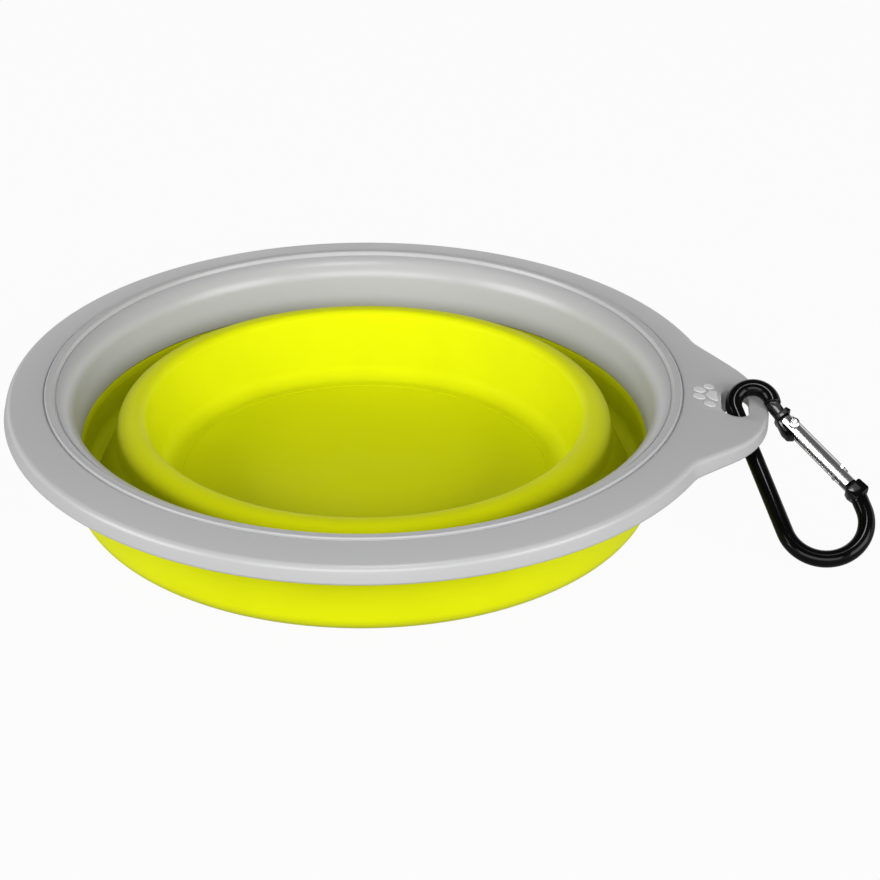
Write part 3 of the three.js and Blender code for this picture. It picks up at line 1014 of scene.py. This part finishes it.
    def on_tab(self, x: float, y: float, turn: float) -> Matrix:
        """Gives the place on the sloping face of the tab at a point.

        Args:
            x: The point's distance along the tab from the axis, in millimetres.
            y: Its distance to the side, in millimetres.
            turn: The turn of what sits there, in degrees.

        Returns:
            The place.
        """
        inner, outer = self.drawn_zone()
        lean = self.flange_slope()
        run = outer + self.tab_reach - self.radius - inner
        fall = lean * (outer - inner) + self.top_drop
        height = self.top - lean * (inner - self.hub) - fall * (x - inner) / run
        slope = math.atan2(fall, run)
        return (Matrix.Translation(Vector((x, y, height)) * MM) @ Matrix.Rotation(slope, 4, "Y")
                @ Matrix.Rotation(math.radians(turn), 4, "Z"))

    def toe_piece(self, name: str, toe: Toe) -> bpy.types.Object:
        """Makes one raised toe of the paw, an oval with a soft edge.

        Args:
            name: The piece's name.
            toe: The toe's size.

        Returns:
            The toe, flat at the origin.
        """
        clear_selection()
        bpy.ops.mesh.primitive_circle_add(
            vertices=28, radius=0.5 * MM, fill_type="NGON", location=(0.0, 0.0, -self.sunk * MM))
        piece = start_edit(name)
        bpy.ops.transform.resize(value=(toe.length, toe.width, 1.0), center_override=(0.0, 0.0, 0.0))
        push(Vector((0.0, 0.0, (self.sunk + self.relief) * MM)))
        close_up()
        pick(piece, Pick.EDGES, lambda line: min(point.co.z for point in line.verts) > 0.0)
        bpy.ops.mesh.bevel(offset=self.relief * 0.8 * MM, segments=4, affect="EDGES")
        return smooth(piece, 50.0)

    def paw(self) -> bpy.types.Object:
        """Makes the paw figure, four toes and a pad, as one low relief on the tab.

        Returns:
            The figure in its place.
        """
        parts = []
        for i, toe in enumerate(self.toes):
            part = self.toe_piece("paw_toe_%d" % i, toe)
            parts.append(settle(part, self.on_tab(toe.x, toe.y, toe.turn)))
        pad = raised_plate("paw_relief", [
            Corner(-1.7, 0.0, 0.9), Corner(-0.4, -2.1, 0.9), Corner(1.6, -2.9, 0.7),
            Corner(1.3, 0.0, 2.0), Corner(1.6, 2.9, 0.7), Corner(-0.4, 2.1, 0.9),
        ], 2.0 * self.relief, self.relief * 0.7)
        settle(pad, self.on_tab(*self.pad_place))
        clear_selection()
        for part in parts:
            part.select_set(True)
        pad.select_set(True)
        bpy.context.view_layer.objects.active = pad
        bpy.ops.object.join()
        return pad

    def build(self) -> None:
        """Makes the rim and the paw, and puts them on the rim's body."""
        hand_over(self.moulding(), self.finish, Body.RIM, Slot.RIM_GREY, "rim_frame")
        hand_over(self.paw(), self.relief_finish, Body.RIM, Slot.RIM_GREY)


@dataclass
class RimLiner:
    """The grey ring inside the rim: a raised bead, and a collar that slopes in to the soft wall."""

    finish: bpy.types.Material
    steps: int = 240
    outer: float = 79.45
    bottom: float = 26.6
    groove: float = 28.4
    bead_outer: float = 79.15
    bead_inner: float = 77.2
    bead_top: float = 29.35
    bead_edge: float = 0.38
    bead_middle: float = 78.2
    bead_hollow: float = 0.12
    bead_foot: Spot = (76.66, 28.3)
    collar_top: Spot = (76.28, 28.36)
    collar_bend: Spot = (72.42, 27.33)
    foot_inside: Spot = (70.85, 14.6)
    foot_outside: Spot = (71.8, 14.5)
    back_bend: Spot = (73.3, 23.6)
    seat: Spot = (76.0, 26.5)

    def build(self) -> None:
        """Makes the ring."""
        ring = turned_ring("liner_moulding", [
            Corner(*self.foot_inside, 0.35),
            Corner(*self.foot_outside, 0.3),
            Corner(*self.back_bend, 3.0),
            Corner(*self.seat, 0.6),
            Corner(self.outer, self.bottom, 0.3),
            Corner(self.outer, self.groove),
            Corner(self.bead_outer, self.groove, 0.1),
            Corner(self.bead_outer, self.bead_top, self.bead_edge),
            Corner(self.bead_middle, self.bead_top - self.bead_hollow, 2.0),
            Corner(self.bead_inner, self.bead_top, 0.5),
            Corner(*self.bead_foot, 0.2),
            Corner(*self.collar_top, 0.25),
            Corner(*self.collar_bend, 6.0),
        ], self.steps)
        hand_over(ring, self.finish, Body.RIM, Slot.RIM_GREY, "rim_liner")


@dataclass
class SnapHook:
    """The snap hook: a bent black bar with head and nose, and its gate with rivet, spring and plunger."""

    enamel: bpy.types.Material
    plate: bpy.types.Material
    wire: bpy.types.Material
    bar: float = 2.1
    loop: float = 4.8
    loop_start: float = 72.0
    spine_end: float = 34.9
    bow: float = 10.1
    nose_end: float = 31.0
    hook_x: float = 96.8
    hook_above: float = 2.2
    pivot_height: float = 24.6
    spine_turn: float = 68.3
    reach: float = 38.37
    rivet_p: float = 9.1
    rivet_q: float = 7.0
    gate_turn: float = 21.8
    gate_back: float = -2.6
    gate_end: float = 20.4
    gate_inner: float = -1.9
    gate_outer: float = 2.3
    gate_width: float = 5.2
    sheet: float = 0.8
    web_round: float = 3.3
    web_round_back: float = 1.7
    back_short: float = 0.8
    stop_bite: float = 0.4
    web_end: float = 17.3
    inner_block: float = 3.0
    shoulder: float = 4.6
    rivet: float = 1.0
    head: float = 1.4
    head_height: float = 0.65
    dimple: float = 0.35
    play: float = 0.3
    plunger: float = 1.2
    plunger_start: float = 2.8
    plunger_end: float = 6.5
    middle: float = -0.15
    coil: float = 1.15
    coil_wire: float = 0.22
    coil_start: float = 6.9
    coil_turns: int = 8
    coil_pitch: float = 1.0

    def hook_place(self) -> Matrix:
        """Gives the place of the hook's own plane, leaning on the floor at the front of the tab.

        Returns:
            The place.
        """
        lean = math.asin((self.pivot_height - self.bar) / self.reach)
        return (Matrix.Translation((0.0, 0.0, self.pivot_height * MM)) @ Matrix.Rotation(lean, 4, "X")
                @ Matrix.Translation((self.hook_x * MM, self.hook_above * MM, 0.0))
                @ Matrix.Rotation(-math.radians(self.spine_turn), 4, "Z"))

    def gate_in_hook(self) -> Matrix:
        """Gives the gate's place in the hook's plane, turning on the rivet."""
        return (Matrix.Translation((self.rivet_p * MM, self.rivet_q * MM, 0.0))
                @ Matrix.Rotation(math.radians(self.gate_turn), 4, "Z"))

    def bent_bar(self) -> bpy.types.Object:
        """Bends the round bar: the loop through the tab, the spine, the bow and the start of the nose.

        Returns:
            The bar in the hook's plane.
        """
        start = math.radians(self.loop_start)
        clear_selection()
        bpy.ops.mesh.primitive_circle_add(
            vertices=24, radius=self.bar * MM,
            location=(self.loop * math.cos(start) * MM, self.loop * math.sin(start) * MM, 0.0),
            rotation=(math.pi / 2.0, 0.0, start))
        bar = start_edit("hook_bar")
        bpy.ops.mesh.spin(
            steps=36, angle=-math.radians(270.0 - self.loop_start),
            center=(0.0, 0.0, 0.0), axis=(0.0, 0.0, 1.0))
        for _ in range(6):
            push(Vector((self.spine_end / 6.0 * MM, 0.0, 0.0)))
        bow_centre = (self.spine_end * MM, (self.bow - self.loop) * MM, 0.0)
        bpy.ops.mesh.spin(steps=40, angle=-math.pi, center=bow_centre, axis=(0.0, 0.0, 1.0))
        push(Vector(((self.nose_end - self.spine_end) * MM, 0.0, 0.0)))
        bpy.ops.mesh.select_all(action="SELECT")
        bpy.ops.mesh.fill_holes(sides=0)
        close_up()
        pick(bar, Pick.EDGES, lambda line: line.calc_face_angle(0.0) > math.radians(60.0))
        bpy.ops.mesh.bevel(offset=0.6 * MM, segments=4, affect="EDGES")
        clear_selection()
        return bar

    def block(
            self, name: str, corners: Sequence[Corner], thickness: float, edge: float) -> bpy.types.Object:
        """Makes a block of the hook's head or nose, in the hook's plane.

        Args:
            name: The block's name.
            corners: Its outline along and across the gate, in millimetres.
            thickness: Its thickness in millimetres.
            edge: The radius of its edges in millimetres.

        Returns:
            The block.
        """
        return settle(raised_plate(name, corners, thickness, edge), self.gate_in_hook())

    def hook_body(self) -> bpy.types.Object:
        """Makes the whole black body.

        Returns:
            The body in its place.
        """
        bar = self.bent_bar()
        blocks = [
            self.block("nose", [
                Corner(20.8, -2.2, 0.5), Corner(22.2, -2.6, 0.5), Corner(24.6, -2.2), Corner(24.6, 2.0),
                Corner(24.0, 2.5, 0.6), Corner(20.8, 2.3, 0.5)], 2.0 * self.bar, 0.5),
            self.block("tongue", [
                Corner(17.7, -1.3, 0.4), Corner(21.4, -1.3),
                Corner(21.4, 1.4), Corner(17.7, 1.4, 0.4)], self.inner_block, 0.3),
            self.block("neck", [
                Corner(-8.6, -0.9, 0.2), Corner(-4.2, -1.4),
                Corner(-4.2, 1.2), Corner(-8.6, 2.0, 0.2)], self.inner_block, 0.9),
            self.block("shoulder", [
                Corner(-4.7, -1.8, 0.2), Corner(-3.3, -2.2, 0.2),
                Corner(-3.3, 2.2, 0.2), Corner(-4.7, 1.8, 0.2)], self.shoulder, 0.3),
            self.block("cam", [
                Corner(-3.6, -2.2), Corner(-0.6, -3.2, 1.0), Corner(1.4, -3.2, 0.8), Corner(2.4, -2.0, 0.5),
                Corner(2.4, -0.4, 0.4), Corner(1.2, 0.9, 0.6),
                Corner(0.0, 1.4, 0.5), Corner(-3.6, 1.4)], self.inner_block, 0.3),
        ]
        for block in blocks:
            join(bar, block, Join.ADD)
        bar.name = "hook_body"
        settle(bar, self.hook_place())
        return smooth(bar, 40.0)

    def channel(self) -> bpy.types.Object:
        """Folds the gate's channel and cuts its end for the nose and its walls for the rivet.

        Returns:
            The channel in its place.
        """
        half = self.gate_width / 2.0
        inside = half - self.sheet
        back = self.gate_inner + self.back_short
        section = rounded([
            Corner(back, -half, 0.18), Corner(self.gate_outer, -half, self.web_round_back),
            Corner(self.gate_outer, half, self.web_round), Corner(self.gate_inner, half, 0.18),
            Corner(self.gate_inner, inside, 0.18),
            Corner(self.gate_outer - self.sheet, inside, self.web_round - self.sheet),
            Corner(self.gate_outer - self.sheet, -inside, self.web_round_back - self.sheet),
            Corner(back, -inside, 0.18)])
        outline = [Vector((self.gate_back, point.x, point.y)) * MM for point in section]
        piece = draw_outline("gate_channel", outline)
        bpy.ops.mesh.select_all(action="SELECT")
        bpy.ops.mesh.edge_face_add()
        push(Vector(((self.gate_end - self.gate_back) * MM, 0.0, 0.0)))
        close_up()
        nose = raised_plate("nose_cut", [
            Corner(self.web_end, -4.0), Corner(self.gate_end + 2.0, -4.0),
            Corner(self.gate_end + 2.0, 4.0), Corner(self.web_end, 4.0)], 2.0 * inside, 0.0)
        join(piece, nose, Join.CUT)
        for top in (1.0, -1.0):
            trim = raised_plate("end_trim", [
                Corner(self.gate_back - 1.0, top * 1.0), Corner(self.gate_back + 0.1, top * 1.0),
                Corner(self.gate_back + 1.5, top * 3.6), Corner(self.gate_back - 1.0, top * 3.6)], 9.0, 0.0)
            join(piece, trim, Join.CUT)
        hole = self.pin("rivet_hole", [Corner(0.0, -6.0), Corner(self.rivet + self.play, -6.0),
                                       Corner(self.rivet + self.play, 6.0), Corner(0.0, 6.0)])
        join(piece, hole, Join.CUT)
        stop_at = self.coil_start + self.coil_turns * self.coil_pitch + 2.0 * self.coil_wire + self.play
        stop_low = self.gate_inner + self.stop_bite
        stop_high = self.gate_outer - self.stop_bite
        stop = raised_plate("spring_stop", [
            Corner(stop_at, stop_low), Corner(stop_at + self.sheet, stop_low),
            Corner(stop_at + self.sheet, stop_high), Corner(stop_at, stop_high),
        ], 2.0 * inside + self.stop_bite, 0.0)
        join(piece, stop, Join.ADD)
        settle(piece, self.hook_place() @ self.gate_in_hook())
        return smooth(piece, 32.0)

    def pin(self, name: str, corners: Sequence[Corner]) -> bpy.types.Object:
        """Turns a pin about its own axis, which stands on the hook's plane.

        Args:
            name: The pin's name.
            corners: Half of its section, from the axis and back to it, in millimetres.

        Returns:
            The pin at the origin.
        """
        return turned_ring(name, corners, 32, closed=False)

    def rivet_piece(self) -> bpy.types.Object:
        """Makes the rivet with its two domed heads.

        Returns:
            The rivet in its place.
        """
        face = self.gate_width / 2.0 + self.play
        end = face + self.head_height
        piece = self.pin("gate_rivet_pin", [
            Corner(0.0, -end + self.dimple), Corner(0.45, -end + self.dimple, 0.2), Corner(0.75, -end, 0.2),
            Corner(self.head, -face - 0.25, 0.25), Corner(self.head, -face, 0.08),
            Corner(self.rivet, -face), Corner(self.rivet, face),
            Corner(self.head, face, 0.08), Corner(self.head, face + 0.25, 0.25),
            Corner(0.75, end, 0.2), Corner(0.45, end - self.dimple, 0.2), Corner(0.0, end - self.dimple)])
        return settle(piece, self.hook_place() @ self.gate_in_hook())

    def plunger_piece(self) -> bpy.types.Object:
        """Makes the plunger with its rounded front end.

        Returns:
            The plunger in its place.
        """
        piece = self.pin("spring_plunger", [
            Corner(0.0, self.plunger_start), Corner(self.plunger, self.plunger_start, 0.6),
            Corner(self.plunger, self.plunger_end, 0.15), Corner(0.0, self.plunger_end)])
        lying = Matrix.Translation((0.0, self.middle * MM, 0.0)) @ Matrix.Rotation(math.pi / 2.0, 4, "Y")
        return settle(piece, self.hook_place() @ self.gate_in_hook() @ lying)

    def spring_piece(self) -> bpy.types.Object:
        """Winds the gate's spring by screwing a small round section along the channel.

        Returns:
            The spring in its place.
        """
        clear_selection()
        bpy.ops.mesh.primitive_circle_add(
            vertices=10, radius=self.coil_wire * MM,
            location=(self.coil * MM, 0.0, 0.0), rotation=(math.pi / 2.0, 0.0, 0.0))
        piece = start_edit("return_spring")
        clear_selection()
        take_up(piece)
        bpy.ops.object.modifier_add(type="SCREW")
        winding = piece.modifiers[-1]
        winding.axis = "Z"
        winding.angle = TURN
        winding.iterations = self.coil_turns
        winding.screw_offset = self.coil_pitch * MM
        winding.steps = 24
        winding.render_steps = 24
        bpy.ops.object.modifier_apply(modifier=winding.name)
        bpy.ops.object.mode_set(mode="EDIT")
        bpy.ops.mesh.select_all(action="SELECT")
        bpy.ops.mesh.fill_holes(sides=0)
        close_up()
        start = Vector((self.coil_start + self.coil_wire, self.middle, 0.0)) * MM
        lying = Matrix.Translation(start) @ Matrix.Rotation(math.pi / 2.0, 4, "Y")
        settle(piece, self.hook_place() @ self.gate_in_hook() @ lying)
        return smooth(piece)

    def fit_spring(self) -> None:
        """Makes the spring and leaves it in place between the gate and the plunger, on no body."""
        spring = self.spring_piece()
        spring.data.materials.append(self.wire)
        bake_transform(spring)
        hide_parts("gate_spring")
        log.info("%s: %d faces, between gate and plunger", spring.name, len(spring.data.polygons))

    def build(self) -> None:
        """Makes the hook's pieces and puts them on their bodies, all but the spring, which stays on no
        body.
        """
        hand_over(self.hook_body(), self.enamel, Body.HOOK, Slot.HOOK_BLACK, "carabiner_body")
        hand_over(self.rivet_piece(), self.wire, Body.HOOK, Slot.BRIGHT_METAL, "gate_rivet")
        hand_over(self.channel(), self.plate, Body.GATE, Slot.BRIGHT_METAL, "carabiner_gate")
        self.fit_spring()
        hand_over(self.plunger_piece(), self.wire, Body.PLUNGER, Slot.BRIGHT_METAL, "gate_plunger")


@dataclass
class Lamp:
    """A soft studio lamp that points at the middle of the bowl."""

    name: str
    place: Place
    size: tuple[float, float]
    power: float
    glint_only: bool = False

    def build(self, aim: Vector) -> None:
        """Adds the lamp.

        Args:
            aim: The point that it faces, in metres.
        """
        clear_selection()
        direction = aim - Vector(self.place)
        facing = direction.to_track_quat("-Z", "Y").to_euler()
        bpy.ops.object.light_add(type="AREA", location=self.place, rotation=facing)
        lamp = bpy.context.active_object
        lamp.name = self.name
        lamp.data.shape = "RECTANGLE"
        lamp.data.size = self.size[0]
        lamp.data.size_y = self.size[1]
        lamp.data.energy = self.power
        lamp.visible_diffuse = not self.glint_only
        log.info("%s: %.1f W", self.name, self.power)


@dataclass
class Studio:
    """The floor, the light and the camera."""

    ground: bpy.types.Material
    eye: Place = (65.58, -531.61, 299.5)
    heading: float = 5.0
    pitch: float = 28.28
    roll: float = 0.55
    focal_pixels: float = 2400.0
    image_pixels: float = 880.0
    sensor: float = 36.0
    ambient: float = 0.08
    horizon: float = 1.5
    ceiling: float = 0.1
    backdrop: tuple[float, float] = (0.12, 0.55)
    floor_size: float = 6.0

    def floor(self) -> None:
        """Lays the plain floor."""
        clear_selection()
        bpy.ops.mesh.primitive_plane_add(size=self.floor_size)
        ground = start_edit("studio_floor")
        bpy.ops.mesh.subdivide(number_cuts=3)
        clear_selection()
        ground.data.materials.append(self.ground)

    def surroundings(self) -> None:
        """Sets the world.

        The object gets even light. What is mirrored in it is a white backdrop under a dark ceiling.
        """
        world = bpy.data.worlds.new("studio_world")
        bpy.context.scene.world = world
        world.use_nodes = True
        nodes = world.node_tree.nodes
        links = world.node_tree.links
        place = nodes.new("ShaderNodeTexCoord")
        split = nodes.new("ShaderNodeSeparateXYZ")
        links.new(place.outputs["Generated"], split.inputs[0])
        rise = nodes.new("ShaderNodeMapRange")
        rise.interpolation_type = "SMOOTHSTEP"
        rise.inputs["From Min"].default_value = self.backdrop[0]
        rise.inputs["From Max"].default_value = self.backdrop[1]
        rise.inputs["To Min"].default_value = self.horizon
        rise.inputs["To Max"].default_value = self.ceiling
        links.new(split.outputs["Z"], rise.inputs["Value"])
        path = nodes.new("ShaderNodeLightPath")
        first = nodes.new("ShaderNodeMath")
        first.operation = "MAXIMUM"
        links.new(path.outputs["Is Camera Ray"], first.inputs[0])
        links.new(path.outputs["Is Glossy Ray"], first.inputs[1])
        second = nodes.new("ShaderNodeMath")
        second.operation = "MAXIMUM"
        links.new(first.outputs[0], second.inputs[0])
        links.new(path.outputs["Is Transmission Ray"], second.inputs[1])
        level = nodes.new("ShaderNodeMix")
        level.data_type = "FLOAT"
        level.inputs["A"].default_value = self.ambient
        links.new(second.outputs[0], level.inputs["Factor"])
        links.new(rise.outputs["Result"], level.inputs["B"])
        links.new(level.outputs["Result"], nodes["Background"].inputs["Strength"])
        nodes["Background"].inputs["Color"].default_value = (1.0, 1.0, 1.0, 1.0)
        world.cycles.sampling_method = "NONE"

    def lamps(self) -> None:
        """Adds the lamps."""
        aim = Vector((0.01, 0.0, 0.02))
        for lamp in (
            Lamp("front_lamp", (0.05, -1.1, 0.5), (1.2, 0.5), 11.6),
            Lamp("left_lamp", (-0.95, -0.5, 0.42), (0.7, 0.6), 9.4),
            Lamp("right_lamp", (0.95, -0.5, 0.42), (0.7, 0.6), 9.4),
            Lamp("top_lamp", (0.11, -0.2, 1.1), (0.1, 0.1), 1.2),
            Lamp("glint_lamp", (0.11, -0.15, 1.15), (0.32, 0.22), 1.1, glint_only=True),
        ):
            lamp.build(aim)

    def camera(self) -> None:
        """Sets up the camera at the photograph's angle."""
        heading, pitch, roll = (math.radians(value) for value in (self.heading, self.pitch, self.roll))
        ahead = Vector((-math.sin(heading), math.cos(heading), 0.0))
        forward = ahead * math.cos(pitch) - Vector((0.0, 0.0, math.sin(pitch)))
        level = Vector((math.cos(heading), math.sin(heading), 0.0))
        upright = level.cross(forward)
        right = math.cos(roll) * level + math.sin(roll) * upright
        up = math.cos(roll) * upright - math.sin(roll) * level
        clear_selection()
        bpy.ops.object.camera_add()
        camera = bpy.context.active_object
        camera.name = "photo_camera"
        turn = Matrix((right, up, -forward)).transposed().to_4x4()
        camera.matrix_world = Matrix.Translation(Vector(self.eye) * MM) @ turn
        camera.data.sensor_width = self.sensor
        camera.data.lens = self.focal_pixels / self.image_pixels * self.sensor
        camera.data.clip_start = 0.05
        camera.data.clip_end = 30.0
        bpy.context.scene.camera = camera

    def build(self) -> None:
        """Sets up the whole studio."""
        self.camera()
        self.floor()
        self.surroundings()
        self.lamps()
        bpy.context.scene.view_settings.view_transform = "Standard"


def main() -> None:
    """Builds the bowl, the hook and the studio."""
    logging.basicConfig(level=logging.INFO, format="%(name)s: %(message)s")
    clear_selection()
    grey = SatinPlastic("rim_grey_plastic", (0.386, 0.386, 0.391)).material()
    pale_grey = SatinPlastic("paw_grey_plastic", (0.54, 0.54, 0.545)).material()
    lime = (0.6, 0.64, 0.003)
    green = SoftMoulding("soft_green_rubber", lime).material()
    floor_green = SatinPlastic(
        "floor_green_plastic", (0.63, 0.67, 0.003), gloss=(0.42, 0.52), level=0.25, mirror=lime).material()
    black = GlossBlack("hook_black_enamel", (0.002, 0.002, 0.0022)).material()
    gate_metal = BrightMetal("gate_plated_steel", (0.86, 0.86, 0.87), turn=(0.0, 0.44, 0.7)).material()
    wire_metal = BrightMetal("spring_steel", (0.45, 0.45, 0.46)).material()
    white = PaleGround("studio_white").material()
    SoftWall(green).build()
    CupFloor(floor_green).build()
    RimFrame(grey, pale_grey).build()
    RimLiner(grey).build()
    SnapHook(black, gate_metal, wire_metal).build()
    Studio(white).build()


if __name__ == "__main__":
    main()
